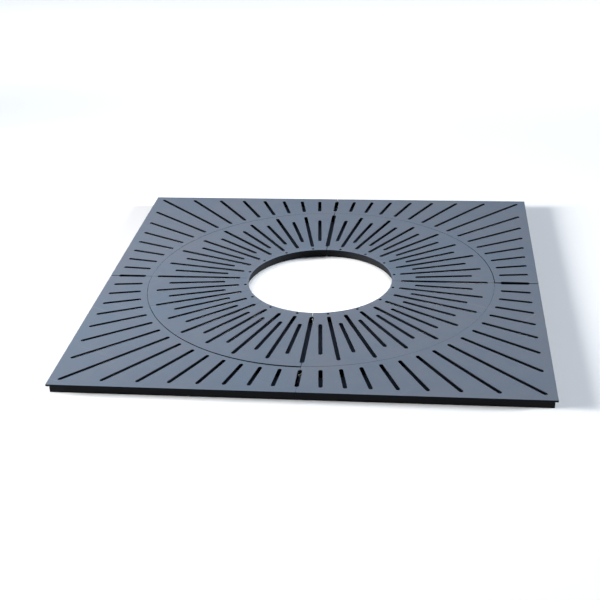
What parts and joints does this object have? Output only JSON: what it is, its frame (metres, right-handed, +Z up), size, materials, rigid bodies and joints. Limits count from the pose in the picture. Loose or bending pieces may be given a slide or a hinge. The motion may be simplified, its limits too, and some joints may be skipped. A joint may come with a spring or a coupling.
{
  "type": "tree grate",
  "caption": "Square slotted tree grate of steel plate on flat bar, with a round trunk opening and lift-out ring panels that widen it.",
  "frame": {"origin": "on the ground under the middle of the trunk opening", "axes": "+Z up, out of the walking surface; +X towards the side on the right in the picture; +Y towards the side at the back"},
  "size_m": [1.5, 1.5, 0.031],
  "materials": {
    "plate": "satin blue-grey powder coat, a little dusty",
    "flat_bar": "satin black coat",
    "fastener": "dull zinc under black coat"
  },
  "bodies": {
    "corner_frame": {"back_right_corner_plate": "plate", "back_right_skirt_bar_right": "flat_bar", "back_right_skirt_bar_back": "flat_bar", "back_right_seam_bar_right": "flat_bar", "back_right_seam_bar_back": "flat_bar", "back_right_arc_bar": "flat_bar", "back_left_corner_plate": "plate", "back_left_skirt_bar_back": "flat_bar", "back_left_skirt_bar_left": "flat_bar", "back_left_seam_bar_back": "flat_bar", "back_left_seam_bar_left": "flat_bar", "back_left_arc_bar": "flat_bar", "front_left_corner_plate": "plate", "front_left_skirt_bar_left": "flat_bar", "front_left_skirt_bar_front": "flat_bar", "front_left_seam_bar_left": "flat_bar", "front_left_seam_bar_front": "flat_bar", "front_left_arc_bar": "flat_bar", "front_right_corner_plate": "plate", "front_right_skirt_bar_front": "flat_bar", "front_right_skirt_bar_right": "flat_bar", "front_right_seam_bar_front": "flat_bar", "front_right_seam_bar_right": "flat_bar", "front_right_arc_bar": "flat_bar", "seam_bolt_right": "fastener", "seam_bolt_back": "fastener", "seam_bolt_left": "fastener", "seam_bolt_front": "fastener", "seam_nut_right": "fastener", "seam_nut_back": "fastener", "seam_nut_left": "fastener", "seam_nut_front": "fastener"},
    "back_right_ring_panel": {"back_right_ring_plate_1": "plate", "back_right_ring_plate_2": "plate", "back_right_ring_plate_3": "plate", "back_right_ring_plate_4": "plate", "back_right_rim_bar": "flat_bar", "back_right_joint_bar": "flat_bar"},
    "back_left_ring_panel": {"back_left_ring_plate_1": "plate", "back_left_ring_plate_2": "plate", "back_left_ring_plate_3": "plate", "back_left_ring_plate_4": "plate", "back_left_rim_bar": "flat_bar", "back_left_joint_bar": "flat_bar"},
    "front_left_ring_panel": {"front_left_ring_plate_1": "plate", "front_left_ring_plate_2": "plate", "front_left_ring_plate_3": "plate", "front_left_ring_plate_4": "plate", "front_left_rim_bar": "flat_bar", "front_left_joint_bar": "flat_bar"},
    "front_right_ring_panel": {"front_right_ring_plate_1": "plate", "front_right_ring_plate_2": "plate", "front_right_ring_plate_3": "plate", "front_right_ring_plate_4": "plate", "front_right_rim_bar": "flat_bar", "front_right_joint_bar": "flat_bar"}
  },
  "joints": [
    {"name": "back_right_lift", "type": "slide", "parent": "corner_frame", "child": "back_right_ring_panel", "axis": [0, 0, 1], "range_m": [0, 0.08]},
    {"name": "back_left_lift", "type": "slide", "parent": "corner_frame", "child": "back_left_ring_panel", "axis": [0, 0, 1], "range_m": [0, 0.08]},
    {"name": "front_left_lift", "type": "slide", "parent": "corner_frame", "child": "front_left_ring_panel", "axis": [0, 0, 1], "range_m": [0, 0.08]},
    {"name": "front_right_lift", "type": "slide", "parent": "corner_frame", "child": "front_right_ring_panel", "axis": [0, 0, 1], "range_m": [0, 0.08]}
  ]
}
